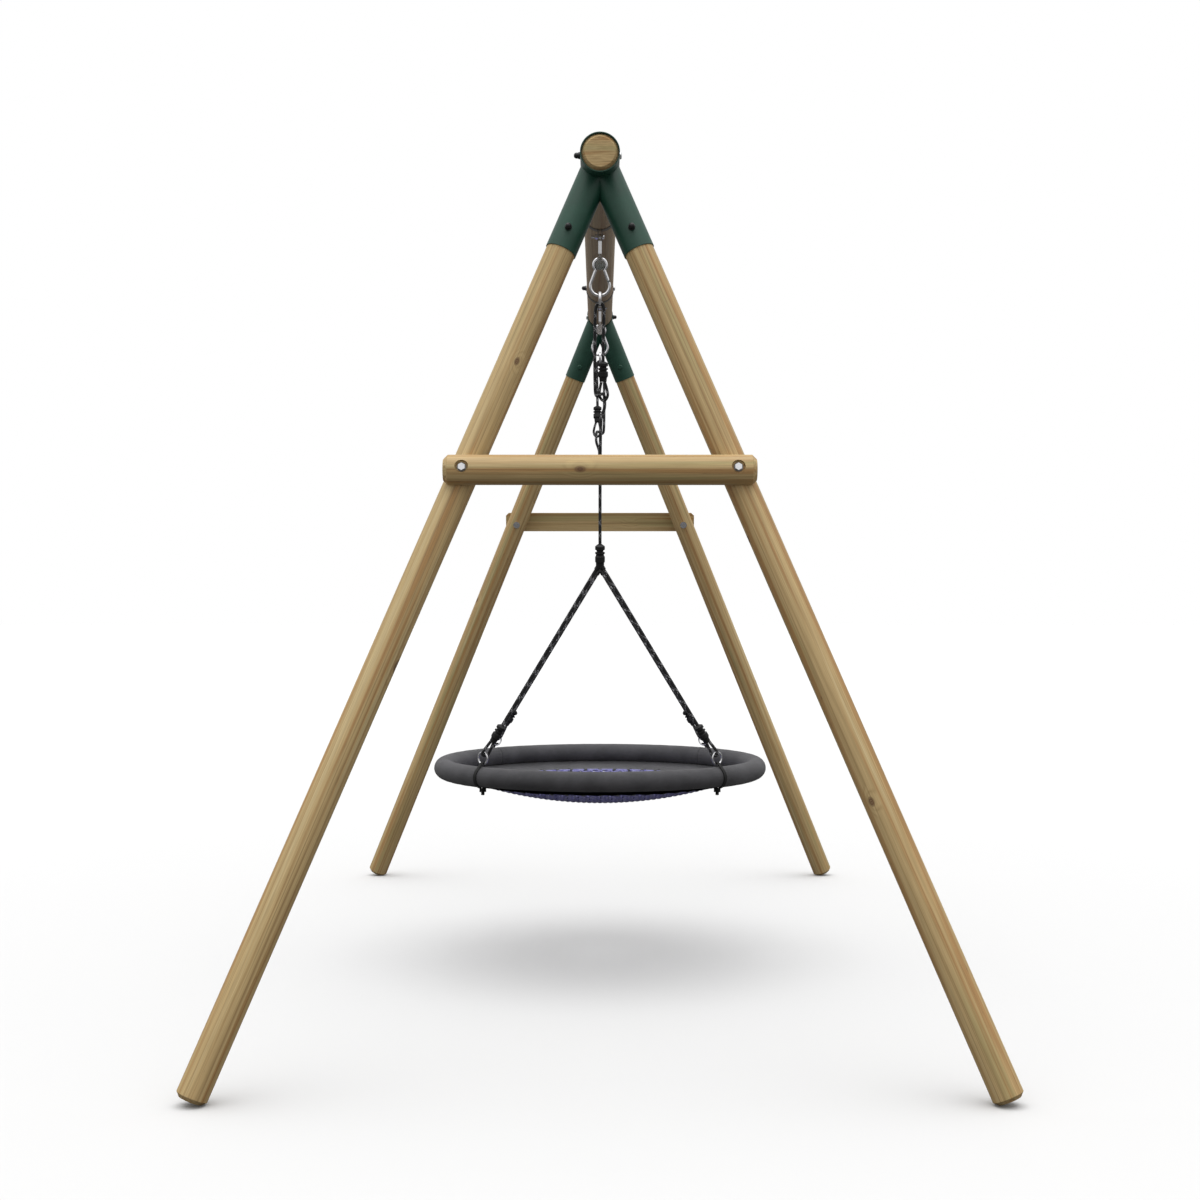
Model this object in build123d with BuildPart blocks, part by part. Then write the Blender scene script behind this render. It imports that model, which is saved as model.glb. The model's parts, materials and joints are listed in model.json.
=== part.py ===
from build123d import *
import math
import os

# Wooden A-frame swing set with a round nest seat. Origin on the ground under the middle of the seat,
# X across the frame, Y along the top beam (near end at -Y), Z up. Millimetres.
# The far end repeats the near end turned half a turn about Z, and left is the mirror of right.

# Frame timber
beam_height = 2417.0
beam_radius = 50.0
beam_half_length = 1406.0
leg_radius = 40.0
leg_meet_y = 1296.0
leg_slope_x = math.tan(math.radians(22.5))
leg_slope_y = 0.2047
leg_top = 100.0
timber_chamfer = 10.0
tie_length = 811.0
tie_width = 80.0
tie_depth = 40.0
tie_height = 1557.0
tie_end_chamfer = 12.0

# Brackets
collar_inner = 50.4
collar_outer = 53.2
collar_front = 1404.0
collar_length = 158.0
socket_inner = 40.4
socket_outer = 42.5
socket_end = 280.0
socket_bore_start = 66.0
socket_bolt_at = 224.0
collar_bolt_y = 1342.0
side_bolt_height = beam_height + 5.0

# Fasteners
bolt_radius = 5.0
bolt_hole = 5.3
cap_radius = 9.5
cap_flange = 5.0
cap_dome = 7.9
cap_length = 17.0
thread_tail = 7.0
counterbore_radius = 17.5
counterbore_depth = 12.0

# Hangers
hanger_y = 656.0
band_width = 28.0
band_inner = 50.25
band_outer = 52.6
ear_inner = 4.5
ear_outer = 7.5
ear_bolt_height = 2346.0
swing_axis_height = 2260.0

# Snap hooks, around the swing axis
wire = 4.3
dome_radius = 19.9
pinch_angle = 37.0
pinch_radius = 8.0
bow_radius = 29.7
bow_drop = 65.0
gate_swing_gap = 0.6
gate_pin_back = 5.0

# Ropes and what is on them
main_rope = 5.0
branch_rope = 6.0
eye_rope = 4.3
branch_eye = 4.9
gear_slope = 0.194
strand_top = 2130.0
top_ring_radius = 20.0
top_ring_wire = 4.0
seat_ring_radius = 19.5
seat_ring_wire = 2.8

# Seat
hoop_radius = 536.0
hoop_height = 655.0
cover_radius = 34.0
cover_wall = 3.0
foam_outer = 30.7
foam_inner = 15.3
tube_outer = 15.0
tube_wall = 2.0
bowl_radius = 1400.0
bowl_low = 539.0
net_edge = 411.0
skirt_inner = 412.0
skirt_outer = 519.0
skirt_rise = 18.6
skirt_sag = 1.3
net_thick = 7.0
skirt_thick = 3.0

os.makedirs("parts", exist_ok=True)
pieces = {}


def keep(name, part):
    # one node: a label and a file of the same name
    part.label = name
    export_step(part, f"parts/{name}.step")
    pieces[name] = part
    print(f"{name}: {len(part.solids())} solid, {part.volume / 1000:.1f} cm3")


def far_copy(part):
    # the far end is the near end turned about the vertical
    with BuildPart() as turned:
        add(part.rotate(Axis.Z, 180))
    return turned.part


def left_copy(part):
    with BuildPart() as mirrored:
        mirror(part, about=Plane.YZ)
    return mirrored.part


def group(*parts):
    # identical pieces that share one node, as separate solids
    with BuildPart() as together:
        for part in parts:
            add(part)
    return together.part


def four_of(part):
    left = left_copy(part)
    return group(part, left, far_copy(part), far_copy(left))


def rod(start, direction, length, radius):
    # a round bar from a point along a direction
    with BuildPart() as bar:
        with BuildSketch(Plane(origin=start, z_dir=direction)):
            Circle(radius)
        extrude(amount=length)
    return bar.part


# Directions of the near right leg, and of the plane that both near legs lie in

meet = Vector(0, -leg_meet_y, beam_height)
leg_down = Vector(leg_slope_x, -leg_slope_y, -1).normalized()
leg_outward = Vector(0, -1, leg_slope_y).normalized()
leg_lean = math.acos(-leg_down.Z)
foot_drop = (leg_radius - timber_chamfer) * math.sin(leg_lean)
leg_end = (beam_height - foot_drop) / math.cos(leg_lean)
tie_at = (beam_height - tie_height) / math.cos(leg_lean)
tie_cross = meet + leg_down * tie_at

# Legs: round poles with chamfered ends, drilled for the socket bolt and the tie bolt

with BuildPart() as near_right_leg:
    with BuildSketch(Plane(origin=meet + leg_down * leg_top, z_dir=leg_down)):
        Circle(leg_radius)
    extrude(amount=leg_end - leg_top)
    ends = near_right_leg.faces().sort_by(Axis(meet, leg_down))
    chamfer(ends[-1].edges(), length=timber_chamfer)
    for along in (socket_bolt_at, tie_at):
        with BuildSketch(Plane(origin=meet + leg_down * along, z_dir=leg_outward)):
            Circle(bolt_hole)
        extrude(amount=2 * leg_radius, both=True, mode=Mode.SUBTRACT)

near_left_leg = left_copy(near_right_leg.part)
keep("near_right_leg", near_right_leg.part)
keep("near_left_leg", near_left_leg)
keep("far_left_leg", far_copy(near_right_leg.part))
keep("far_right_leg", far_copy(near_left_leg))

# Top beam, with cross holes for the collar bolts and the hanger bolts

with BuildPart() as top_beam:
    with BuildSketch(Plane(origin=(0, -beam_half_length, beam_height), z_dir=(0, 1, 0))):
        Circle(beam_radius)
    extrude(amount=2 * beam_half_length)
    round_edges = top_beam.edges().filter_by(GeomType.CIRCLE)
    chamfer(round_edges, length=timber_chamfer)
    for y in (-collar_bolt_y, -hanger_y, hanger_y, collar_bolt_y):
        with BuildSketch(Plane(origin=(0, y, side_bolt_height), z_dir=(1, 0, 0))):
            Circle(bolt_hole)
        extrude(amount=2 * beam_radius, both=True, mode=Mode.SUBTRACT)
keep("top_beam", top_beam.part)

# Brackets: a collar round the beam and two mitred leg sockets, welded into one

leg_directions = [leg_down, Vector(-leg_down.X, leg_down.Y, leg_down.Z)]
with BuildPart() as near_bracket:
    with BuildSketch(Plane(origin=(0, -collar_front, beam_height), z_dir=(0, 1, 0))):
        Circle(collar_outer)
    extrude(amount=collar_length)
    for direction in leg_directions:
        with BuildSketch(Plane(origin=meet, z_dir=direction)):
            Circle(socket_outer)
        extrude(amount=socket_end)
    for direction in leg_directions:
        with BuildSketch(Plane(origin=meet + direction * socket_bore_start, z_dir=direction)):
            Circle(socket_inner)
        extrude(amount=socket_end, mode=Mode.SUBTRACT)
    with BuildSketch(Plane(origin=(0, -collar_front - collar_length, beam_height), z_dir=(0, 1, 0))):
        Circle(collar_inner)
    extrude(amount=3 * collar_length, mode=Mode.SUBTRACT)
    for direction in leg_directions:
        with BuildSketch(Plane(origin=meet + direction * socket_bolt_at, z_dir=leg_outward)):
            Circle(bolt_hole)
        extrude(amount=2 * socket_outer, both=True, mode=Mode.SUBTRACT)
    with BuildSketch(Plane(origin=(0, -collar_bolt_y, side_bolt_height), z_dir=(1, 0, 0))):
        Circle(bolt_hole)
    extrude(amount=2 * collar_outer, both=True, mode=Mode.SUBTRACT)
keep("near_bracket", near_bracket.part)
keep("far_bracket", far_copy(near_bracket.part))


def cup_bolt(inside, direction, grip, tail):
    # domed head at the inside face, shank through the grip and a thread that stands out of it
    with BuildPart() as bolt:
        with BuildSketch(Plane(origin=inside, z_dir=-direction)):
            Circle(2 * bolt_radius)
        extrude(amount=5.0)
        fillet(bolt.faces().sort_by(Axis(inside, -direction))[-1].edges(), radius=4.0)
        with BuildSketch(Plane(origin=inside, z_dir=direction)):
            Circle(bolt_radius)
        extrude(amount=grip + tail)
    return bolt.part


def cap_nut(seat, direction):
    # black domed nut with a collar, hollow over the end of the thread
    with BuildPart() as cap:
        with BuildSketch(Plane(origin=seat, z_dir=direction)):
            Circle(cap_radius)
        extrude(amount=cap_flange)
        chamfer(cap.faces().sort_by(Axis(seat, direction))[-1].edges(), length=1.4)
        with BuildSketch(Plane(origin=seat, z_dir=direction)):
            Circle(cap_dome)
        extrude(amount=cap_length)
        fillet(cap.faces().sort_by(Axis(seat, direction))[-1].edges(), radius=7.0)
        with BuildSketch(Plane(origin=seat, z_dir=direction)):
            Circle(bolt_radius + 0.05)
        extrude(amount=thread_tail + 0.2, mode=Mode.SUBTRACT)
    return cap.part


# Bracket fasteners: cup-head bolts with cap nuts on the outward faces
face_gap = 0.15
socket_face = socket_outer + face_gap
leg_bolt_start = meet + leg_down * socket_bolt_at - leg_outward * socket_face
leg_bolt = cup_bolt(leg_bolt_start, leg_outward, 2 * socket_face, thread_tail)
leg_cap = cap_nut(leg_bolt_start + leg_outward * 2 * socket_face, leg_outward)
collar_face = collar_outer + face_gap
beam_bolt_start = Vector(collar_face, -collar_bolt_y, side_bolt_height)
beam_bolt = cup_bolt(beam_bolt_start, Vector(-1, 0, 0), 2 * collar_face, thread_tail)
beam_cap = cap_nut(beam_bolt_start - Vector(2 * collar_face, 0, 0), Vector(-1, 0, 0))
band_face = band_outer + face_gap
band_bolt_start = Vector(-band_face, -hanger_y, side_bolt_height)
band_bolt = cup_bolt(band_bolt_start, Vector(1, 0, 0), 2 * band_face, thread_tail)
band_cap = cap_nut(band_bolt_start + Vector(2 * band_face, 0, 0), Vector(1, 0, 0))
keep("leg_bolts", four_of(leg_bolt))
keep("collar_bolts", group(beam_bolt, far_copy(beam_bolt)))
keep("hanger_side_bolts", group(band_bolt, far_copy(band_bolt)))
side_caps = group(beam_cap, band_cap)
keep("cap_nuts", group(four_of(leg_cap), side_caps, far_copy(side_caps)))

# Cross ties: half-round rails across the outer side of each pair of legs

tie_plane = Plane(
    origin=Vector(-tie_length / 2, tie_cross.Y, tie_cross.Z) + leg_outward * (leg_radius + face_gap),
    x_dir=leg_outward,
    z_dir=(1, 0, 0),
)
with BuildPart() as near_cross_tie:
    with BuildSketch(tie_plane):
        Circle(tie_width / 2)
        with Locations((-tie_width / 2, 0)):
            Rectangle(tie_width, 2 * tie_width, mode=Mode.SUBTRACT)
    extrude(amount=tie_length)
    end_faces = near_cross_tie.faces().sort_by(Axis.X)
    for end_face in (end_faces[0], end_faces[-1]):
        chamfer(end_face.edges().filter_by(GeomType.CIRCLE), length=tie_end_chamfer)
    for side in (1, -1):
        hole_foot = Vector(side * tie_cross.X, tie_cross.Y, tie_cross.Z)
        with BuildSketch(Plane(origin=hole_foot, z_dir=leg_outward)):
            Circle(bolt_hole)
        extrude(amount=2 * tie_width, mode=Mode.SUBTRACT)
        counterbore_floor = hole_foot + leg_outward * (leg_radius + tie_depth - counterbore_depth)
        with BuildSketch(Plane(origin=counterbore_floor, z_dir=leg_outward)):
            Circle(counterbore_radius)
        extrude(amount=2 * counterbore_depth, mode=Mode.SUBTRACT)
keep("near_cross_tie", near_cross_tie.part)
keep("far_cross_tie", far_copy(near_cross_tie.part))

# Tie bolts: hexagon heads on washers in the counterbores, nuts inside the legs

floor_at = leg_radius + tie_depth - counterbore_depth + face_gap
washer_floor = tie_cross + leg_outward * floor_at
nut_floor = tie_cross - leg_outward * (leg_radius + face_gap)
washer_thick = 2.0
head_thick = 7.0
with BuildPart() as tie_washer:
    with BuildSketch(Plane(origin=washer_floor, z_dir=leg_outward)):
        Circle(12.0)
        Circle(bolt_hole, mode=Mode.SUBTRACT)
    extrude(amount=washer_thick)
with BuildPart() as tie_bolt:
    with BuildSketch(Plane(origin=washer_floor + leg_outward * washer_thick, z_dir=leg_outward)):
        RegularPolygon(10.0, 6)
    extrude(amount=head_thick)
    with BuildSketch(Plane(origin=washer_floor + leg_outward * washer_thick, z_dir=-leg_outward)):
        Circle(bolt_radius)
    extrude(amount=floor_at + washer_thick + leg_radius + 12.0)
with BuildPart() as tie_nut:
    with BuildSketch(Plane(origin=nut_floor, z_dir=-leg_outward)):
        Circle(14.0)
        Circle(bolt_radius + 0.05, mode=Mode.SUBTRACT)
    extrude(amount=washer_thick)
    with BuildSketch(Plane(origin=nut_floor - leg_outward * washer_thick, z_dir=-leg_outward)):
        RegularPolygon(10.0, 6)
        Circle(bolt_radius + 0.05, mode=Mode.SUBTRACT)
    extrude(amount=8.0)
keep("tie_washers", four_of(tie_washer.part))
keep("tie_bolts", four_of(tie_bolt.part))
keep("tie_nuts", four_of(tie_nut.part))

# Hanger bands: a steel strip round the beam whose two ends turn down as ears

ear_bottom = ear_bolt_height - 12.0
band_plane = Plane(origin=(0, -hanger_y + band_width / 2, beam_height), x_dir=(1, 0, 0), z_dir=(0, -1, 0))
ear_middle = (ear_inner + ear_outer) / 2
ear_thick = ear_outer - ear_inner
ear_top = beam_height - band_inner - 1.0
with BuildPart() as near_hanger_band:
    with BuildSketch(band_plane):
        Circle(band_outer)
        Circle(band_inner, mode=Mode.SUBTRACT)
        with Locations((0, -beam_radius)):
            Rectangle(2 * ear_inner, 30.0, mode=Mode.SUBTRACT)
        with Locations((-ear_middle, (ear_top + ear_bottom) / 2 - beam_height)):
            Rectangle(ear_thick, ear_top - ear_bottom)
        with Locations((ear_middle, (ear_top + ear_bottom) / 2 - beam_height)):
            Rectangle(ear_thick, ear_top - ear_bottom)
    extrude(amount=band_width)
    with BuildSketch(Plane(origin=(0, -hanger_y, ear_bolt_height), z_dir=(1, 0, 0))):
        Circle(4.2)
    extrude(amount=20.0, both=True, mode=Mode.SUBTRACT)
    with BuildSketch(Plane(origin=(0, -hanger_y, side_bolt_height), z_dir=(1, 0, 0))):
        Circle(bolt_hole)
    extrude(amount=2 * beam_radius, both=True, mode=Mode.SUBTRACT)
keep("near_hanger_band", near_hanger_band.part)
keep("far_hanger_band", far_copy(near_hanger_band.part))

ear_face = ear_outer + face_gap
with BuildPart() as ear_bolt:
    with BuildSketch(Plane(origin=(ear_face, -hanger_y, ear_bolt_height), z_dir=(1, 0, 0))):
        Circle(7.5)
    extrude(amount=5.5)
    fillet(ear_bolt.faces().sort_by(Axis.X)[-1].edges(), radius=3.5)
    with BuildSketch(Plane(origin=(ear_face, -hanger_y, ear_bolt_height), z_dir=(-1, 0, 0))):
        Circle(4.0)
    extrude(amount=ear_face + 27.0)
with BuildPart() as ear_nut:
    with BuildSketch(Plane(origin=(-ear_face, -hanger_y, ear_bolt_height), z_dir=(-1, 0, 0))):
        RegularPolygon(7.5, 6)
        Circle(4.05, mode=Mode.SUBTRACT)
    extrude(amount=8.0)
keep("ear_bolts", group(ear_bolt.part, far_copy(ear_bolt.part)))
keep("ear_nuts", group(ear_nut.part, far_copy(ear_nut.part)))

# Clevis links: an eye between the ears, a shank, and a fork with two round cheeks

cheek_inner = 4.7
cheek_outer = 8.4
dome_outer = dome_radius + wire
bridge_low = swing_axis_height + dome_outer + 1.0
bridge_high = bridge_low + 8.0
shank_top = ear_bottom - 1.0
with BuildPart() as near_clevis_link:
    with BuildSketch(Plane(origin=(-4.2, -hanger_y, ear_bolt_height), x_dir=(0, 1, 0), z_dir=(1, 0, 0))):
        Circle(8.5)
        with Locations((0, (shank_top - ear_bolt_height) / 2)):
            Rectangle(9.0, ear_bolt_height - shank_top)
    extrude(amount=8.4)
    with BuildSketch(Plane.XY.offset(bridge_low)):
        with Locations((0, -hanger_y)):
            Rectangle(10.0, 2 * cheek_outer)
    extrude(amount=bridge_high - bridge_low)
    with BuildSketch(Plane.XY.offset(bridge_high)):
        with Locations((0, -hanger_y)):
            Circle(5.0)
    extrude(amount=shank_top - bridge_high + 1.0)
    for front in (-hanger_y - cheek_outer, -hanger_y + cheek_inner):
        with BuildSketch(Plane(origin=(0, front, swing_axis_height), x_dir=(-1, 0, 0), z_dir=(0, 1, 0))):
            Circle(15.5)
            with Locations((0, (bridge_high - swing_axis_height) / 2)):
                Rectangle(10.0, bridge_high - swing_axis_height)
            Circle(4.6, mode=Mode.SUBTRACT)
        extrude(amount=cheek_outer - cheek_inner)
    with BuildSketch(Plane(origin=(0, -hanger_y, ear_bolt_height), z_dir=(1, 0, 0))):
        Circle(4.05)
    extrude(amount=10.0, both=True, mode=Mode.SUBTRACT)
keep("near_clevis_link", near_clevis_link.part)
keep("far_clevis_link", far_copy(near_clevis_link.part))

bush_half = 4.6
with BuildPart() as bush:
    with BuildSketch(Plane(origin=(0, -hanger_y - bush_half, swing_axis_height), z_dir=(0, 1, 0))):
        Circle(dome_radius - wire - 0.06)
        Circle(4.55, mode=Mode.SUBTRACT)
    extrude(amount=2 * bush_half)
with BuildPart() as clevis_pin:
    with BuildSketch(Plane(origin=(0, -hanger_y - cheek_outer - 3.0, swing_axis_height), z_dir=(0, 1, 0))):
        Circle(4.5)
    extrude(amount=2 * cheek_outer + 6.0)
    for front in (-hanger_y - cheek_outer - 3.1, -hanger_y + cheek_outer + 0.1):
        with BuildSketch(Plane(origin=(0, front, swing_axis_height), z_dir=(0, 1, 0))):
            Circle(6.2)
        extrude(amount=3.0)
keep("hook_bushes", group(bush.part, far_copy(bush.part)))
keep("hook_pins", group(clevis_pin.part, far_copy(clevis_pin.part)))

# Snap hooks: one bent wire, an eye over the bush, a pinch below it and a pear-shaped bow

pinch = math.radians(pinch_angle)
pinch_x = (dome_radius + pinch_radius) * math.cos(pinch)
pinch_z = -(dome_radius + pinch_radius) * math.sin(pinch)
centre_gap = math.hypot(pinch_x, pinch_z + bow_drop)
tangent_length = math.sqrt(centre_gap**2 - (pinch_radius + bow_radius) ** 2)
to_bow = math.atan2(-bow_drop - pinch_z, -pinch_x)
side_angle = to_bow + math.asin((pinch_radius + bow_radius) / centre_gap)
side = Vector(math.cos(side_angle), math.sin(side_angle))
side_out = Vector(-side.Y, side.X)
side_top = Vector(pinch_x, pinch_z) - side_out * pinch_radius
side_foot = side_top + side * tangent_length
dome_foot = Vector(dome_radius * math.cos(pinch), -dome_radius * math.sin(pinch))
pinch_centre = Vector(pinch_x, pinch_z)
pinch_middle = pinch_centre + (dome_foot + side_top - pinch_centre * 2).normalized() * pinch_radius
nose_end = side_top + side * 3.0
gate_pin_at = side_foot - side * gate_pin_back
hook_plane = Plane(origin=(0, -hanger_y, swing_axis_height), x_dir=(1, 0, 0), z_dir=(0, -1, 0))


def flip(point):
    return Vector(-point.X, point.Y)


def on_hook(point):
    return hook_plane.from_local_coords(point)


shoulder = gate_pin_at + side * (wire + 0.3)
bow_bottom = Vector(0, -bow_drop - bow_radius)
dome_top = Vector(0, dome_radius)
with BuildPart() as near_snap_hook:
    with BuildLine() as hook_path:
        Line(on_hook(nose_end), on_hook(side_top))
        ThreePointArc(on_hook(side_top), on_hook(pinch_middle), on_hook(dome_foot))
        ThreePointArc(on_hook(dome_foot), on_hook(dome_top), on_hook(flip(dome_foot)))
        ThreePointArc(on_hook(flip(dome_foot)), on_hook(flip(pinch_middle)), on_hook(flip(side_top)))
        Line(on_hook(flip(side_top)), on_hook(flip(side_foot)))
        ThreePointArc(on_hook(flip(side_foot)), on_hook(bow_bottom), on_hook(side_foot))
        Line(on_hook(side_foot), on_hook(shoulder))
    with BuildSketch(Plane(origin=hook_path.wire() @ 0, z_dir=hook_path.wire() % 0)):
        Circle(wire)
    sweep(path=hook_path.wire())
    tongue_along = on_hook(shoulder) - on_hook(gate_pin_at)
    with BuildSketch(Plane(origin=on_hook(gate_pin_at), x_dir=tongue_along, z_dir=(0, -1, 0))):
        Circle(3.6)
        with Locations((4.0, 0)):
            Rectangle(8.0, 7.2)
        Circle(1.3, mode=Mode.SUBTRACT)
    extrude(amount=1.4, both=True)
keep("near_snap_hook", near_snap_hook.part)
keep("far_snap_hook", far_copy(near_snap_hook.part))

# Gates: hollow bars that turn on a pin at the lower end and hold a coil spring

gate_end = nose_end + side * gate_swing_gap
gate_length = (gate_pin_at - gate_end).length
gate_direction = (on_hook(gate_pin_at) - on_hook(gate_end)).normalized()
spring_start = 9.0
spring_end = gate_length - 7.5
with BuildPart() as near_gate:
    with BuildSketch(Plane(origin=on_hook(gate_end), z_dir=gate_direction)):
        Circle(wire)
    extrude(amount=gate_length)
    with BuildSketch(Plane(origin=on_hook(gate_pin_at), z_dir=(0, -1, 0))):
        Circle(wire)
    extrude(amount=3.6, both=True)
    gate_plane = Plane(origin=on_hook(gate_pin_at), x_dir=gate_direction, z_dir=(0, -1, 0))
    with BuildSketch(gate_plane):
        Rectangle(14.0, 20.0)
    extrude(amount=1.6, both=True, mode=Mode.SUBTRACT)
    with BuildSketch(gate_plane):
        Circle(1.25)
    extrude(amount=8.0, both=True, mode=Mode.SUBTRACT)
    bore_start = on_hook(gate_end) + gate_direction * (spring_start - 0.5)
    with BuildSketch(Plane(origin=bore_start, z_dir=gate_direction)):
        Circle(2.5)
    extrude(amount=spring_end - spring_start + 1.5, mode=Mode.SUBTRACT)
keep("near_gate", near_gate.part)
keep("far_gate", far_copy(near_gate.part))

with BuildPart() as gate_pin:
    with BuildSketch(gate_plane):
        Circle(1.2)
    extrude(amount=3.6, both=True)
keep("gate_pins", group(gate_pin.part, far_copy(gate_pin.part)))

spring_plane = Plane(origin=on_hook(gate_end) + gate_direction * spring_start, z_dir=gate_direction)
coil = spring_plane * Helix(pitch=2.6, height=spring_end - spring_start, radius=1.9)
with BuildPart() as near_gate_spring:
    with BuildSketch(Plane(origin=coil @ 0, z_dir=coil % 0)):
        Circle(0.35)
    sweep(path=coil, is_frenet=True)
keep("near_gate_spring", near_gate_spring.part)
keep("far_gate_spring", far_copy(near_gate_spring.part))

# The near ropes lie in one plane that leans in from the hanger to the seat

gear_up = Vector(0, -gear_slope, 1).normalized()
gear_plane = Plane(
    origin=(0, -hanger_y, strand_top),
    x_dir=(1, 0, 0),
    z_dir=Vector(1, 0, 0).cross(gear_up),
)


def in_gear(x, up, out=0.0):
    return gear_plane.from_local_coords(Vector(x, up, out))


def drop(height):
    # distance down the leaning plane to a height above the ground
    return (height - strand_top) / gear_up.Z


def rope_tube(points, radius):
    # straight runs joined by arcs as large as the runs allow
    radii = []
    for before, corner, after in zip(points, points[1:], points[2:]):
        run_in = corner - before
        run_out = after - corner
        half_turn = math.radians(run_in.get_angle(run_out)) / 2
        radii.append(0.45 * min(run_in.length, run_out.length) / math.tan(half_turn))
    print("rope radii", [round(r) for r in radii])
    with BuildPart() as tube:
        with BuildLine() as path:
            if radii:
                FilletPolyline(*points, radius=radii)
            else:
                Line(*points)
        with BuildSketch(Plane(origin=path.wire() @ 0, z_dir=path.wire() % 0)):
            Circle(radius)
        sweep(path=path.wire(), transition=Transition.ROUND)
    drawn = math.pi * radius**2 * path.wire().length
    print(f"  length {path.wire().length:.0f}, volume {tube.part.volume / drawn:.4f} of section times length")
    return tube.part


# Top rings: a welded ring hangs edge-on in each hook and carries the rope

hook_bottom = swing_axis_height - bow_drop - bow_radius
ring_height = hook_bottom + wire + 0.4 + top_ring_wire - top_ring_radius
with BuildPart(Plane(origin=(0, -hanger_y, ring_height), z_dir=(1, 0, 0))) as top_ring:
    Torus(top_ring_radius, top_ring_wire)
keep("top_rings", group(top_ring.part, far_copy(top_ring.part)))

# Ferrules: ribbed black mouldings, a waisted cap, one rib and a barrel that tapers to the outlet


def ferrule(top, down, length):
    share = [(0, 7), (0.05, 12), (0.09, 15.5), (0.22, 15.5), (0.27, 10.5), (0.31, 10.5), (0.345, 15.5)]
    share += [(0.39, 15.5), (0.43, 11.5), (0.47, 11.5), (0.52, 15.5), (0.73, 15.5), (0.81, 12), (1, 11)]
    outline = [(radius, along * length) for along, radius in share]
    across = down.cross(Vector(0, 1, 0))
    profile = Plane(origin=top, x_dir=across, z_dir=across.cross(down))
    with BuildPart() as moulding:
        with BuildSketch(profile):
            with BuildLine():
                Polyline((0, 0), *outline, (0, length), (0, 0))
            make_face()
        revolve(axis=Axis(top, down))
    return moulding.part


eye_ferrule_top = drop(1967.0)
eye_ferrule_length = 62.0
eye_ferrule_x = 9.5
gear_down = gear_up * -1
eye_ferrule = ferrule(in_gear(eye_ferrule_x, eye_ferrule_top), gear_down, eye_ferrule_length)
keep("eye_ferrules", group(eye_ferrule, far_copy(eye_ferrule)))

# Main ropes: up from the fork, through the eye, up and over the ring, and down into the eye ferrule

fork_top = drop(1405.0)
fork_length = 76.0
over_ring = ring_height - top_ring_radius + top_ring_wire + main_rope + 0.5
bend_top = (over_ring - strand_top) / gear_up.Z
half_strands = 13.5
joint_gap = 0.2
main_route = [
    in_gear(0, fork_top + joint_gap),
    in_gear(0, -352),
    in_gear(7, -331, -5),
    in_gear(15, -309, -12),
    in_gear(14.5, -285, -14),
    in_gear(12.5, -265, -1),
    in_gear(0, -266, 15),
    in_gear(-11, -274, 9),
    in_gear(-16, -256, 1),
    in_gear(-16, -60, 0),
    in_gear(-half_strands, bend_top, 0),
    in_gear(half_strands, bend_top, 0),
    in_gear(11, -60, 0),
    in_gear(eye_ferrule_x, eye_ferrule_top + joint_gap, 0),
]
near_main_rope = rope_tube(main_route, main_rope)
keep("near_main_rope", near_main_rope)
keep("far_main_rope", far_copy(near_main_rope))

slanted_gap = 1.4
eye_mouth = eye_ferrule_top - eye_ferrule_length - slanted_gap
eye_route = [
    in_gear(4, eye_mouth),
    in_gear(-3.5, -262),
    in_gear(0.5, -280),
    in_gear(11.5, -289),
    in_gear(22, -280),
    in_gear(25.5, -262),
    in_gear(15, eye_mouth),
]
near_eye_rope = rope_tube(eye_route, eye_rope)
keep("near_eye_rope", near_eye_rope)
keep("far_eye_rope", far_copy(near_eye_rope))

# Fork ferrules, where each main rope splits into two branches

attach = hoop_radius * math.cos(math.radians(45))
ring_centre_height = 717.0
fork_low = fork_top - fork_length
branch_start_x = 7.0
branch_start = in_gear(branch_start_x, fork_low + 4.0)
near_right_ring = Vector(attach, -attach, ring_centre_height)
branch_down = (near_right_ring - branch_start).normalized()
branch_left_down = Vector(-branch_down.X, branch_down.Y, branch_down.Z)
fork_moulding = ferrule(in_gear(0, fork_top), gear_down, fork_length)
with BuildPart() as near_fork_ferrule:
    add(fork_moulding)
    add(rod(in_gear(3.5, fork_low + 8.0), branch_down, 16.0, 8.0))
    add(rod(in_gear(-3.5, fork_low + 8.0), branch_left_down, 16.0, 8.0))
keep("near_fork_ferrule", near_fork_ferrule.part)
keep("far_fork_ferrule", far_copy(near_fork_ferrule.part))

# Branch ropes, each from the fork to the ferrule above its seat ring

branch_ferrule_length = 64.0
branch_ferrule_low = 64.0
branch_from = in_gear(3.5, fork_low + 8.0) + branch_down * (16.0 + joint_gap)
branch_line = (near_right_ring - branch_from).normalized()
branch_ferrule_top = near_right_ring - branch_line * (branch_ferrule_low + branch_ferrule_length)
branch_to = branch_ferrule_top - branch_line * joint_gap
near_right_branch = rope_tube([branch_from, branch_to], branch_rope)
near_left_branch = left_copy(near_right_branch)
keep("near_right_branch", near_right_branch)
keep("near_left_branch", near_left_branch)
keep("far_left_branch", far_copy(near_right_branch))
keep("far_right_branch", far_copy(near_left_branch))
keep("branch_ferrules", four_of(ferrule(branch_ferrule_top, branch_line, branch_ferrule_length)))

# Seat rings stand upright on the hoop, turned a little out of the rope's plane

ring_turn = math.radians(38)
ring_along = Vector(math.cos(ring_turn), math.sin(ring_turn), 0)
with BuildPart(Plane(origin=near_right_ring, z_dir=ring_along.cross(Vector(0, 0, 1)))) as seat_ring:
    Torus(seat_ring_radius, seat_ring_wire)
keep("seat_rings", four_of(seat_ring.part))

# Branch eyes, the loops that hold the seat rings

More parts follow.
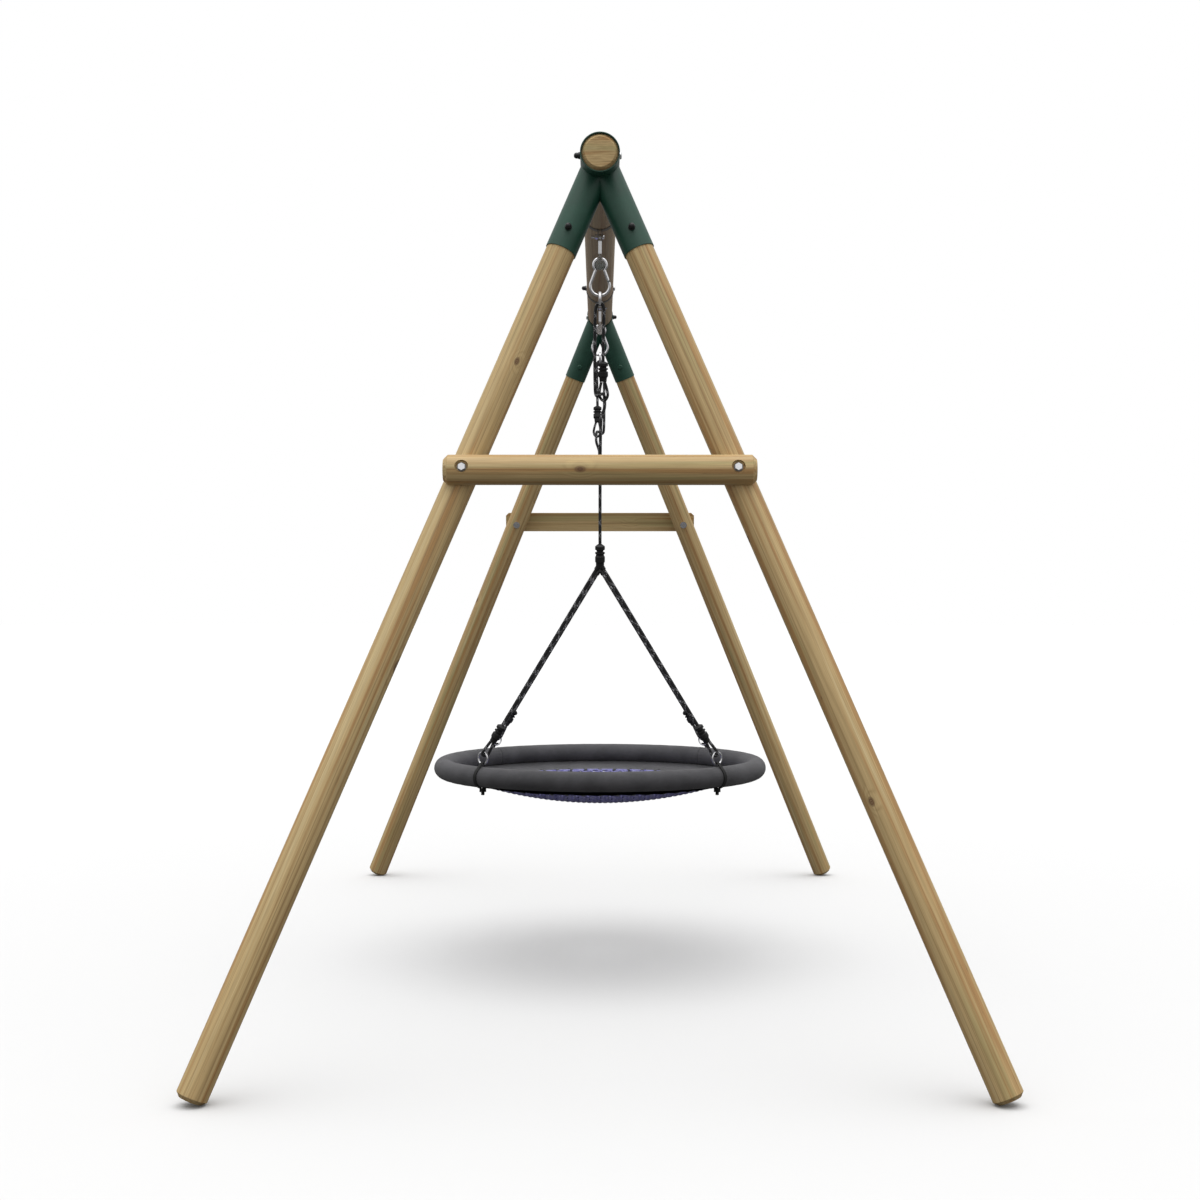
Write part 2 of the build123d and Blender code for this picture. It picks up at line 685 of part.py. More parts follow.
pull = branch_line * -1
pull_in_ring = (ring_along * pull.dot(ring_along) + Vector(0, 0, 1) * pull.Z).normalized()
eye_turn = math.radians(24)
gear_across = gear_plane.z_dir.cross(pull)
eye_across = gear_across * -math.cos(eye_turn) + gear_plane.z_dir * math.sin(eye_turn)
eye_foot = near_right_ring + pull_in_ring * (seat_ring_radius - seat_ring_wire - branch_eye - 1.2)


def in_eye(across, up):
    return eye_foot + eye_across * across + pull * up


mouth_up = (branch_ferrule_top + branch_line * (branch_ferrule_length + slanted_gap) - eye_foot).dot(pull)
branch_eye_route = [
    in_eye(5.6, mouth_up),
    in_eye(11.5, 13),
    in_eye(9.5, 2),
    in_eye(0, -1),
    in_eye(-9.5, 2),
    in_eye(-11.5, 13),
    in_eye(-5.6, mouth_up),
]
near_right_eye = rope_tube(branch_eye_route, branch_eye)
near_left_eye = left_copy(near_right_eye)
keep("near_right_eye", near_right_eye)
keep("near_left_eye", near_left_eye)
keep("far_left_eye", far_copy(near_right_eye))
keep("far_right_eye", far_copy(near_left_eye))

# Seat bands: hooked over each seat ring, down the hoop's outer side to a clamp under it

hoop_point = Vector(attach, -attach, hoop_height)
hoop_tangent = Vector(1, 1, 0).normalized()
strap_half = 6.0
strap_room = 2.4
strap_thick = 2.6
strap_hook = 4.0
ring_foot = ring_centre_height - seat_ring_radius - hoop_height
strap_start = hoop_point - hoop_tangent * strap_half
strap_plane = Plane(origin=strap_start, x_dir=hoop_tangent.cross(Vector(0, 0, 1)), z_dir=hoop_tangent)
strap_up = 1 if strap_plane.y_dir.Z > 0 else -1
with BuildPart() as seat_band:
    with BuildSketch(strap_plane):
        Circle(cover_radius + 0.4)
        with Locations((0, strap_up * ring_foot)):
            Circle(seat_ring_wire + strap_room)
        make_hull()
        offset(amount=strap_thick, mode=Mode.ADD)
        with BuildSketch(mode=Mode.PRIVATE) as inside:
            Circle(cover_radius + 0.4)
            with Locations((0, strap_up * ring_foot)):
                Circle(seat_ring_wire + strap_room)
            make_hull()
        add(inside.sketch, mode=Mode.SUBTRACT)
    extrude(amount=2 * strap_half)
    with BuildSketch(strap_plane):
        with Locations((-strap_hook, 0)):
            Rectangle(3 * cover_radius, 4 * cover_radius, align=(Align.MAX, Align.CENTER))
    extrude(amount=2 * strap_half, mode=Mode.SUBTRACT)
    with BuildSketch(Plane.XY.offset(hoop_height - cover_radius - 1.0)):
        with Locations((attach, -attach)):
            Circle(5.5)
    extrude(amount=-22.0)
    with BuildSketch(Plane.XY.offset(hoop_height - cover_radius - 1.0)):
        with Locations(Location((attach, -attach), 45)):
            RectangleRounded(14.0, 20.0, 3.0)
    extrude(amount=-12.0)
    fillet(seat_band.faces().sort_by(Axis.Z)[0].edges(), radius=1.5)
keep("seat_bands", four_of(seat_band.part))


def hoop_arc(start_angle, sweep_angle, outer, inner):
    # part of the round hoop, as a section turned about the vertical
    across = Vector(math.cos(math.radians(start_angle)), math.sin(math.radians(start_angle)), 0)
    with BuildPart() as arc:
        upright = across.cross(Vector(0, 0, 1))
        with BuildSketch(Plane(origin=(0, 0, hoop_height), x_dir=across, z_dir=upright)):
            with Locations((hoop_radius, 0)):
                Circle(outer)
                Circle(inner, mode=Mode.SUBTRACT)
        revolve(axis=Axis.Z, revolution_arc=sweep_angle)
    return arc.part


# Hoop: two bent steel tubes, foam sleeves and four fabric covers that meet under the bands

half_gap = 0.03
half_turn_arc = 180 - 2 * half_gap
quarter_arc = 90 - 2 * half_gap
tube_inner = tube_outer - tube_wall
halves = [hoop_arc(start + half_gap, half_turn_arc, tube_outer, tube_inner) for start in (0, 180)]
keep("hoop_halves", group(*halves))
foam = [hoop_arc(start + half_gap, quarter_arc, foam_outer, foam_inner) for start in (45, 135, 225, 315)]
keep("foam_sleeves", group(*foam))
for side_name, start in (("right", -45), ("far", 45), ("left", 135), ("near", 225)):
    cover = hoop_arc(start + half_gap, quarter_arc, cover_radius, cover_radius - cover_wall)
    keep(f"{side_name}_cover", cover)


def dish_ring(under, thick):
    # a ring or a disc turned from three points of its underside, thick measured upwards
    upper = [(across, height + thick) for across, height in under]
    with BuildPart() as dish:
        with BuildSketch(Plane.XZ):
            with BuildLine():
                ThreePointArc(*under)
                Line(under[2], upper[2])
                ThreePointArc(*upper)
                Line(upper[0], under[0])
            make_face()
        revolve(axis=Axis.Z)
    return dish.part


def bowl_height(across):
    return bowl_low + bowl_radius - math.sqrt(bowl_radius**2 - across**2)


# Seat: a fabric skirt sewn to the covers, and the rope net that sags inside it

skirt_low = bowl_height(skirt_inner)
skirt_middle = (skirt_inner + skirt_outer) / 2
skirt_under = [(skirt_inner, skirt_low)]
skirt_under += [(skirt_middle, skirt_low + skirt_rise / 2 - skirt_sag)]
skirt_under += [(skirt_outer, skirt_low + skirt_rise)]
with BuildPart() as net_skirt:
    add(dish_ring(skirt_under, skirt_thick))
    with BuildSketch(Plane.XY.offset(bowl_low)):
        with PolarLocations(hoop_radius, 4, start_angle=45):
            Rectangle(2 * cover_radius + 14.0, 2 * strap_half + 4.0)
    extrude(amount=2 * cover_radius + 100.0, mode=Mode.SUBTRACT)
keep("net_skirt", net_skirt.part)
net_under = [(across, bowl_height(across)) for across in (0, net_edge / 2, net_edge)]
keep("seat_net", dish_ring(net_under, net_thick))

whole = Compound(children=list(pieces.values()))
size = whole.bounding_box()
print("nodes", len(pieces), "size", size.size, "low", size.min)
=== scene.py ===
import json
import math

import bpy
import numpy as np
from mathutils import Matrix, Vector


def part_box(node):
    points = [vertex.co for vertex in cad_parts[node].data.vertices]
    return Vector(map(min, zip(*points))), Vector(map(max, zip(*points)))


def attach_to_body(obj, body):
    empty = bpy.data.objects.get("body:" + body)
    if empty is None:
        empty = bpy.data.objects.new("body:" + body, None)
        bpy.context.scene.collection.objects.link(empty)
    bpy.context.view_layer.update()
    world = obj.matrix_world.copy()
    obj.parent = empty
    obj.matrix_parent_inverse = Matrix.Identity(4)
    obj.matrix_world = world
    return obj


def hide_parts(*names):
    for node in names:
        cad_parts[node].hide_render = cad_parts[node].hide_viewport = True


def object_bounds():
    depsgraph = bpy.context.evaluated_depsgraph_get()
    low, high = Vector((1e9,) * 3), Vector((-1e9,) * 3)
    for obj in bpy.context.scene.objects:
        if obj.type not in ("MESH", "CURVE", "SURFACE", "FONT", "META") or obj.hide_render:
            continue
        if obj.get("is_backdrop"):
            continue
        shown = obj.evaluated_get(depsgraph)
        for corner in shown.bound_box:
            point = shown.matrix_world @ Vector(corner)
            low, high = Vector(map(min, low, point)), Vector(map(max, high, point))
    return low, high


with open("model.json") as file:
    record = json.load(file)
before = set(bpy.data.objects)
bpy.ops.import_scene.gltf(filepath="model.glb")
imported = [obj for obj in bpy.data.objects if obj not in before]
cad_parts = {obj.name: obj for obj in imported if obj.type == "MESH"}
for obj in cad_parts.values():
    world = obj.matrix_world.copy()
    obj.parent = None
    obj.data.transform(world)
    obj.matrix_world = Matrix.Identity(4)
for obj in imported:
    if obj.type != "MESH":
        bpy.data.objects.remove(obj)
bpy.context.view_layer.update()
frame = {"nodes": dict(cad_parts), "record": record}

scene = bpy.context.scene
nodes = frame["nodes"]

# The camera stands in front of the near A-frame and looks level along the beam
eyeHeight = 1.229
cameraData = bpy.data.cameras.new("frontCamera")
cameraData.lens = 52.5
cameraData.sensor_width = 36.0
camera = bpy.data.objects.new("frontCamera", cameraData)
camera.location = (0.0, -6.04, eyeHeight)
camera.rotation_euler = (math.radians(90), 0, 0)
scene.collection.objects.link(camera)
scene.camera = camera


# Mesh from a grid of points: rows along the piece, columns around it
def gridFaces(rows, columns, ringed, endless):
    rowSteps = rows if endless else rows - 1
    columnSteps = columns if ringed else columns - 1
    i, j = np.meshgrid(np.arange(rowSteps), np.arange(columnSteps), indexing="ij")
    down, right = (i + 1) % rows, (j + 1) % columns
    here, there = i * columns, down * columns
    quads = np.stack([here + j, here + right, there + right, there + j], -1)
    u = np.stack([j, j + 1, j + 1, j], -1) / columnSteps
    v = np.stack([i, i, i + 1, i + 1], -1) / rowSteps
    return quads.reshape(-1, 4), np.stack([u, v], -1).reshape(-1, 4, 2)


def addPiece(name, body, points, ringed=False, endless=False, capped=False, uvSize=(1.0, 1.0)):
    # points is rows x columns x 3, or copies x rows x columns x 3 for a repeated shape
    sets = points if points.ndim == 4 else points[None]
    copies, rows, columns = sets.shape[:3]
    quads, uv = gridFaces(rows, columns, ringed, endless)
    each = rows * columns
    shift = (np.arange(copies) * each)[:, None, None]
    faces = (quads[None] + shift).reshape(-1, 4).tolist()
    uvs = [np.tile(uv, (copies, 1, 1)).reshape(-1, 2) * uvSize]
    vertices = [sets.reshape(-1, 3)]
    if capped:
        # each open end gets a middle point and a fan of triangles
        ring = np.arange(columns)
        base = copies * each
        middles = np.concatenate([sets[:, 0].mean(1), sets[:, -1].mean(1)])
        vertices.append(middles)
        for k in range(copies):
            first = k * each
            last = first + (rows - 1) * columns
            following = (ring + 1) % columns
            startMiddle = np.full(columns, base + k)
            endMiddle = np.full(columns, base + copies + k)
            start = np.stack([startMiddle, first + following, first + ring], -1)
            end = np.stack([endMiddle, last + ring, last + following], -1)
            faces += start.tolist() + end.tolist()
        uvs.append(np.zeros((copies * columns * 6, 2)))
    mesh = bpy.data.meshes.new(name)
    mesh.from_pydata(np.concatenate(vertices).tolist(), [], faces)
    layer = mesh.uv_layers.new(name="uv")
    layer.data.foreach_set("uv", np.concatenate(uvs).astype(np.float32).ravel())
    mesh.shade_smooth()
    mesh.validate()
    piece = bpy.data.objects.new(name, mesh)
    scene.collection.objects.link(piece)
    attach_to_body(piece, body)
    return piece


def turned(points, half=False, mirrored=False):
    # far pieces are the near ones after half a turn, left ones are mirrored
    sign = np.array([-1.0 if half != mirrored else 1.0, -1.0 if half else 1.0, 1.0])
    return np.asarray(points) * sign


def splineLine(name, route):
    # the route's points steer one smooth spline, which is read back as a line
    curve = bpy.data.curves.new(name + "Line", "CURVE")
    curve.dimensions = "3D"
    spline = curve.splines.new("NURBS")
    spline.points.add(len(route) - 1)
    spline.points.foreach_set("co", np.column_stack([route, np.ones(len(route))]).ravel())
    spline.order_u = 3
    spline.use_endpoint_u = True
    spline.resolution_u = 40
    holder = bpy.data.objects.new(name + "Line", curve)
    line = bpy.data.meshes.new_from_object(holder)
    points = np.empty(len(line.vertices) * 3)
    line.vertices.foreach_get("co", points)
    bpy.data.objects.remove(holder)
    bpy.data.meshes.remove(line)
    bpy.data.curves.remove(curve)
    return points.reshape(-1, 3)


def evenly(points, step):
    # the same line with points at even distances
    along = np.concatenate([[0], np.cumsum(np.linalg.norm(np.diff(points, axis=0), axis=1))])
    places = np.linspace(0, along[-1], max(3, int(round(along[-1] / step)) + 1))
    return np.column_stack([np.interp(places, along, points[:, k]) for k in range(3)]), places


def carriedFrames(line):
    # two directions across the line, carried along it without twist
    tangent = np.gradient(line, axis=0)
    tangent /= np.linalg.norm(tangent, axis=1)[:, None]
    side = np.cross(tangent[0], (0.0, 0.0, 1.0))
    if np.linalg.norm(side) < 0.2:
        side = np.cross(tangent[0], (1.0, 0.0, 0.0))
    sides = [side / np.linalg.norm(side)]
    for t in tangent[1:]:
        moved = sides[-1] - t * np.dot(sides[-1], t)
        sides.append(moved / np.linalg.norm(moved))
    sides = np.array(sides)
    return sides, np.cross(tangent, sides)


def braidHeight(around, along, strands, pitch):
    # two families of strands cross and take turns on top: the higher of |cos a|(.45+.55w)
    # and |cos b|(.45+.55(1-w)), where w = (1 + cos a cos b) / 2
    a = 0.5 * strands * around + math.pi * along / pitch
    b = 0.5 * strands * around - math.pi * along / pitch
    onTop = 0.5 + 0.5 * np.cos(a) * np.cos(b)
    rising = np.abs(np.cos(a)) * (0.45 + 0.55 * onTop)
    falling = np.abs(np.cos(b)) * (0.45 + 0.55 * (1 - onTop))
    return np.maximum(rising, falling)


def braidedRope(name, body, route, diameter, strands=8, detail=1.0):
    step = diameter * 0.13 / detail
    pitch = diameter * 0.52
    line, along = evenly(splineLine(name, route), step)
    side, up = carriedFrames(line)
    sides = int(36 * detail)
    around = np.linspace(0, 2 * math.pi, sides, endpoint=False)
    height = braidHeight(around[None], along[:, None], strands, pitch)
    radius = 0.5 * diameter * (0.93 + 0.10 * height)
    ring = np.cos(around)[None, :, None] * side[:, None] + np.sin(around)[None, :, None] * up[:, None]
    points = line[:, None] + radius[..., None] * ring
    turns = along[-1] / (strands * pitch)
    return addPiece(name, body, points, ringed=True, capped=True, uvSize=(1.0, turns)), line, along[-1]


# Rope gear: places follow the gear's plane, 0.656 m in front of the middle, in millimetres
hangerY, gearZ = -656.0, 2130.0
gearUp = np.array([0.0, -0.194, 1.0])
gearUp /= np.linalg.norm(gearUp)
gearX = np.array([1.0, 0.0, 0.0])
gearOut = np.cross(gearX, gearUp)


def inGear(x, up, out=0.0):
    return np.array([0.0, hangerY, gearZ]) + gearX * x + gearUp * up + gearOut * out


def drop(height):
    return (height - gearZ) / gearUp[2]


# diameters of the four kinds of rope, and the gaps left at the ferrules' faces
gear = {"main": 10.0, "eye": 8.6, "branch": 12.0, "loop": 9.8, "gap": 0.2, "slantGap": 1.4}
forkTop, forkLength = drop(1405.0), 76.0
eyeTop, eyeLength, eyeX = drop(1967.0), 62.0, 9.5
bendTop = 13.75
mainRoute = [
    inGear(0, forkTop + gear["gap"]),
    inGear(0, -352),
    inGear(7, -331, -5),
    inGear(15, -309, -12),
    inGear(14.5, -285, -14),
    inGear(12.5, -265, -1),
    inGear(0, -266, 15),
    inGear(-11, -274, 9),
    inGear(-16, -256, 1),
    inGear(-16, -60, 0),
    inGear(-13.5, bendTop, 0),
    inGear(13.5, bendTop, 0),
    inGear(11, -60, 0),
    inGear(eyeX, eyeTop + gear["gap"], 0),
]
eyeMouth = eyeTop - eyeLength - gear["slantGap"]
eyeRoute = [
    inGear(4, eyeMouth),
    inGear(-3.5, -262),
    inGear(0.5, -280),
    inGear(11.5, -289),
    inGear(22, -280),
    inGear(25.5, -262),
    inGear(15, eyeMouth),
]


def unit(v):
    return v / np.linalg.norm(v)


hoopRadius, seatRingHeight = 536.0, 717.0
branchFerruleLength, branchFerruleReach = 64.0, 128.0
attach = hoopRadius * math.cos(math.radians(45))
forkLow = forkTop - forkLength
seatRing = np.array([attach, -attach, seatRingHeight])
branchDown = unit(seatRing - inGear(7.0, forkLow + 4.0))
branchFrom = inGear(3.5, forkLow + 8.0) + branchDown * 16.2
branchLine = unit(seatRing - branchFrom)
ferruleTop = seatRing - branchLine * branchFerruleReach
branchTo = ferruleTop - branchLine * gear["gap"]
branchRoute = [branchFrom, 0.5 * (branchFrom + branchTo), branchTo]
ringAlong = np.array([math.cos(math.radians(38)), math.sin(math.radians(38)), 0.0])
pull = -branchLine
pullInRing = unit(ringAlong * pull.dot(ringAlong) + np.array([0, 0, pull[2]]))
eyeFoot = seatRing + pullInRing * 10.6
acrossGear = np.cross(gearOut, pull)
eyeAcross = -acrossGear * math.cos(math.radians(24)) + gearOut * math.sin(math.radians(24))
eyeMouthPlace = ferruleTop + branchLine * (branchFerruleLength + gear["slantGap"])
mouthUp = (eyeMouthPlace - eyeFoot).dot(pull)
eyePoints = [(5.6, mouthUp), (11.5, 13), (9.5, 2), (0, -1), (-9.5, 2), (-11.5, 13), (-5.6, mouthUp)]
branchEyeRoute = [eyeFoot + eyeAcross * across + pull * up for across, up in eyePoints]

ropePieces = []


def addRope(name, node, route, diameter, half=False, mirrored=False, detail=1.0):
    placed = turned(np.array(route) / 1000.0, half, mirrored)
    piece, line, length = braidedRope(name, "swing", placed, diameter / 1000.0, detail=detail)
    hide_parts(node)
    ropePieces.append(piece)
    print("rope", name, "length", round(length, 4), "m")


for side, half in (("near", False), ("far", True)):
    addRope(side + "MainRope", side + "_main_rope", mainRoute, gear["main"], half)
    addRope(side + "EyeRope", side + "_eye_rope", eyeRoute, gear["eye"], half)
corners = (("near", "Right", False, False), ("near", "Left", False, True))
corners += (("far", "Left", True, False), ("far", "Right", True, True))
for end, side, half, mirrored in corners:
    low = side.lower()
    for kind, route, size in (("Branch", branchRoute, "branch"), ("Eye", branchEyeRoute, "loop")):
        node = f"{end}_{low}_{kind.lower()}"
        addRope(end + side + kind, node, route, gear[size], half, mirrored)
print("ropes", len(ropePieces))


# Materials are built from nodes by this small helper
class Look:
    def __init__(self, name, **settings):
        self.material = bpy.data.materials.new(name)
        self.material.use_nodes = True
        self.tree = self.material.node_tree
        self.tree.nodes.clear()
        output = self.tree.nodes.new("ShaderNodeOutputMaterial")
        self.shader = self.node("BsdfPrincipled", settings)
        self.tree.links.new(self.shader.outputs[0], output.inputs["Surface"])
        self.place = self.node("TexCoord")

    def node(self, kind, inputs=None, **settings):
        made = self.tree.nodes.new("ShaderNode" + kind)
        for key, value in settings.items():
            setattr(made, key, value)
        for key, value in (inputs or {}).items():
            if isinstance(value, bpy.types.NodeSocket):
                self.tree.links.new(value, made.inputs[key])
            else:
                made.inputs[key].default_value = value
        return made

    def math(self, operation, a, b=0.0, c=0.0, clamp=False):
        node = self.node("Math", {0: a, 1: b}, operation=operation, use_clamp=clamp)
        if operation == "MULTIPLY_ADD" and not isinstance(c, float):
            self.tree.links.new(c, node.inputs[2])
        elif operation == "MULTIPLY_ADD":
            node.inputs[2].default_value = c
        return node.outputs[0]

    def vector(self, operation, a, b=(0.0, 0.0, 0.0)):
        node = self.node("VectorMath", {0: a, 1: b}, operation=operation)
        return node.outputs["Value" if operation in ("LENGTH", "DISTANCE") else "Vector"]

    def noise(self, where, scale, detail=3.0, rough=0.5, distortion=0.0):
        inputs = {"Vector": where, "Scale": scale, "Detail": detail, "Roughness": rough}
        inputs["Distortion"] = distortion
        return self.node("TexNoise", inputs).outputs["Fac"]

    def stretched(self, where, scale, shift=(0.0, 0.0, 0.0)):
        return self.node("Mapping", {"Vector": where, "Scale": scale, "Location": shift}).outputs[0]

    def between(self, value, low, high, start=0.0, end=1.0):
        inputs = {"Value": value, "From Min": low, "From Max": high, "To Min": start, "To Max": end}
        return self.node("MapRange", inputs, interpolation_type="SMOOTHSTEP").outputs[0]

    def ramp(self, value, *stops):
        node = self.node("ValToRGB", {0: value})
        spots = node.color_ramp.elements
        while len(spots) < len(stops):
            spots.new(0.5)
        for spot, (place, colour) in zip(spots, stops):
            spot.position = place
            spot.color = (*colour, 1.0)
        return node.outputs[0]

    def mix(self, share, a, b, blend="MIX"):
        node = self.node("Mix", data_type="RGBA", blend_type=blend)
        for index, value in ((0, share), (6, a), (7, b)):
            if isinstance(value, bpy.types.NodeSocket):
                self.tree.links.new(value, node.inputs[index])
            elif index == 0:
                node.inputs[0].default_value = value
            else:
                node.inputs[index].default_value = (*value, 1.0)
        return node.outputs[2]

    def bump(self, height, distance, strength=1.0, under=None):
        inputs = {"Height": height, "Distance": distance, "Strength": strength}
        if under is not None:
            inputs["Normal"] = under
        return self.node("Bump", inputs).outputs[0]

    def finish(self, colour=None, rough=None, normal=None):
        for key, value in (("Base Color", colour), ("Roughness", rough), ("Normal", normal)):
            if value is not None:
                self.tree.links.new(value, self.shader.inputs[key])
        return self.material


# Timber: rings round a wandering pith, fine fibres along the pole, knots and drying cracks
timber = {
    "pale": (0.66, 0.48, 0.235),
    "late": (0.43, 0.27, 0.105),
    "olive": (0.44, 0.385, 0.17),
    "rust": (0.47, 0.245, 0.085),
    "straw": (0.76, 0.62, 0.35),
    "bark": (0.30, 0.165, 0.065),
    "grey": (0.36, 0.30, 0.27),
    "knot": (0.15, 0.07, 0.03),
    "crack": (0.16, 0.10, 0.05),
    "ring": 0.0066,
}


def timberLook(name, start, direction, pith, knots, seed, greyedBody=0.0, banded=False):
    look = Look(name, Roughness=0.62)
    turn = Vector(direction).rotation_difference(Vector((0, 0, 1))).to_euler()
    offset = look.vector("SUBTRACT", look.place.outputs["Object"], tuple(start))
    local = look.node("Mapping", {"Vector": offset, "Rotation": turn}, vector_type="POINT").outputs[0]
    parts = look.node("SeparateXYZ", {0: local})
    x, y, z = parts.outputs
    if banded:
        # the sawn end shows level bands: there the pattern changes little from side to side
        x = look.math("MULTIPLY", x, look.between(z, 0.004, 0.016, 0.08, 1.0))
        local = look.node("CombineXYZ", {0: x, 1: y, 2: z}).outputs[0]
    # the pith wanders slowly along the pole
    slowly = look.math("MULTIPLY", z, 0.55)
    driftPlace = look.node("CombineXYZ", {0: seed, 1: seed * 0.7, 2: slowly}).outputs[0]
    drift = look.node("TexNoise", {"Vector": driftPlace, "Scale": 1.0, "Detail": 1.0}).outputs["Color"]
    driftParts = look.node("SeparateColor", {0: drift})
    dx = look.math("MULTIPLY_ADD", look.math("SUBTRACT", driftParts.outputs[0], 0.5), 0.036, pith[0])
    dy = look.math("MULTIPLY_ADD", look.math("SUBTRACT", driftParts.outputs[1], 0.5), 0.036, pith[1])
    flat = look.node("CombineXYZ", {0: look.math("SUBTRACT", x, dx), 1: look.math("SUBTRACT", y, dy)})
    reach = look.vector("LENGTH", flat.outputs[0])
    waver = look.noise(look.stretched(local, (16, 16, 0.5), (seed, seed, seed)), 1.0, 2.0)
    reach = look.math("MULTIPLY_ADD", look.math("SUBTRACT", waver, 0.5), 0.014, reach)
    knotShade = None
    for px, py, pz, size in knots:
        fromKnot = look.stretched(look.vector("SUBTRACT", local, (px, py, pz)), (1, 1, 0.62))
        near = look.math("DIVIDE", look.vector("LENGTH", fromKnot), size)
        push = look.between(near, 0.4, 3.2, 0.011, 0.0)
        reach = look.math("ADD", reach, push)
        ripple = look.math("SINE", look.math("MULTIPLY", near, 17.0))
        core = look.between(near, 0.55, 1.15, 1.0, 0.0)
        core = look.math("MULTIPLY", core, look.math("MULTIPLY_ADD", ripple, 0.14, 0.80))
        knotShade = core if knotShade is None else look.math("MAXIMUM", knotShade, core)
    wave = look.math("SINE", look.math("MULTIPLY", reach, 2 * math.pi / timber["ring"]))
    ring = look.math("POWER", look.math("MULTIPLY_ADD", wave, 0.5, 0.5), 2.4)
    fibre = look.noise(look.stretched(local, (620, 620, 9), (0, 0, seed)), 1.0, 3.0, 0.6)
    streak = look.noise(look.stretched(local, (60, 60, 0.75), (seed, 0, 0)), 1.0, 3.0, 0.5)
    patch = look.noise(look.stretched(local, (26, 26, 1.0), (0, 0, -seed)), 1.0, 2.0)
    colour = look.mix(look.math("MULTIPLY", ring, 0.42), timber["pale"], timber["late"])
    colour = look.mix(look.between(patch, 0.52, 0.70, 0.0, 0.6), colour, timber["olive"])
    colour = look.mix(look.between(streak, 0.50, 0.64, 0.0, 0.75), colour, timber["rust"])
    colour = look.mix(look.between(streak, 0.30, 0.44, 0.55, 0.0), colour, timber["straw"])
    fineStreak = look.noise(look.stretched(local, (150, 150, 0.55), (0, seed, seed)), 1.0, 2.0, 0.5)
    colour = look.mix(look.between(fineStreak, 0.54, 0.66, 0.0, 0.50), colour, timber["bark"])
    # the pole is mixed towards grey, all but its sawn end at the start
    if greyedBody:
        body = look.between(z, 0.004, 0.014, 0.0, greyedBody)
        colour = look.mix(body, colour, timber["grey"])
    tone = look.ramp(fibre, (0.28, (0.80, 0.78, 0.74)), (0.72, (1.10, 1.10, 1.08)))
    colour = look.mix(1.0, colour, tone, "MULTIPLY")
    # thin drying cracks run with the grain
    crackNoise = look.noise(look.stretched(local, (95, 95, 1.9), (0, seed, 0)), 1.0, 1.0)
    fromCrack = look.math("ABSOLUTE", look.math("SUBTRACT", crackNoise, 0.5))
    crack = look.between(fromCrack, 0.0, 0.006, 1.0, 0.0)
    crack = look.math("MULTIPLY", crack, look.between(streak, 0.5, 0.62))
    colour = look.mix(look.math("MULTIPLY", crack, 0.55), colour, timber["crack"])
    if knotShade is not None:
        colour = look.mix(knotShade, colour, timber["knot"])
    rough = look.between(ring, 0.0, 1.0, 0.70, 0.52)
    normal = look.bump(fibre, 0.0005, 0.55)
    relief = look.math("SUBTRACT", look.math("MULTIPLY", ring, 0.5), crack)
    normal = look.bump(relief, 0.0004, 0.5, normal)
    return look.finish(colour, rough, normal)


meetZ, meetY = 2.417, 1.296
legLean = np.array([math.tan(math.radians(22.5)), -0.2047, -1.0])
# each knot: two places across the pole, its distance along it and its size
legKnots = {
    "near_left_leg": [
        (-0.018, -0.036, 1.48, 0.013),
        (0.02, -0.034, 0.62, 0.008),
        (-0.03, -0.026, 2.16, 0.007),
    ],
    "near_right_leg": [
        (0.022, -0.033, 1.12, 0.010),
        (-0.012, -0.038, 1.86, 0.009),
        (0.0, 0.04, 0.9, 0.011),
    ],
    "far_left_leg": [(0.01, -0.039, 1.32, 0.009), (-0.03, 0.026, 0.8, 0.011)],
    "far_right_leg": [(-0.02, -0.035, 1.72, 0.010), (0.02, 0.034, 1.1, 0.009)],
}
for seed, (node, knots) in enumerate(legKnots.items()):
    half = node.startswith("far")
    right = node.endswith("right_leg")
    lean = legLean * (1 if right else -1, -1 if half else 1, 1)
    start = (0.0, meetY if half else -meetY, meetZ)
    pith = (0.010 - 0.006 * seed, 0.012 * (-1) ** seed)
    look = timberLook(node + "Wood", start, unit(lean), pith, knots, 3.1 + 2.7 * seed)
    nodes[node].material_slots[0].material = look
beamKnots = [(0.03, 0.04, 0.5, 0.012), (-0.035, -0.036, 1.2, 0.011), (0.01, -0.049, 2.0, 0.013)]
beamStart, beamPith = (0, -1.406, meetZ), (0.004, -0.085)
beamLook = timberLook("beamWood", beamStart, (0, 1, 0), beamPith, beamKnots, 17.3, 0.55, True)
nodes["top_beam"].material_slots[0].material = beamLook
tieHeight = 1.557
for seed, (node, knotPlace) in enumerate((("near_cross_tie", -0.051), ("far_cross_tie", 0.13))):
    low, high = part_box(node)
    middle = ((low[0] + high[0]) / 2, (low[1] + high[1]) / 2, tieHeight)
    knots = [(-0.008, -0.028, knotPlace, 0.011), (-0.006, 0.03, 0.22, 0.009)]
    look = timberLook(node + "Wood", middle, (1, 0, 0), (0.008, 0.03), knots, 29.0 + 5 * seed)
    nodes[node].material_slots[0].material = look
print("timber looks ready")
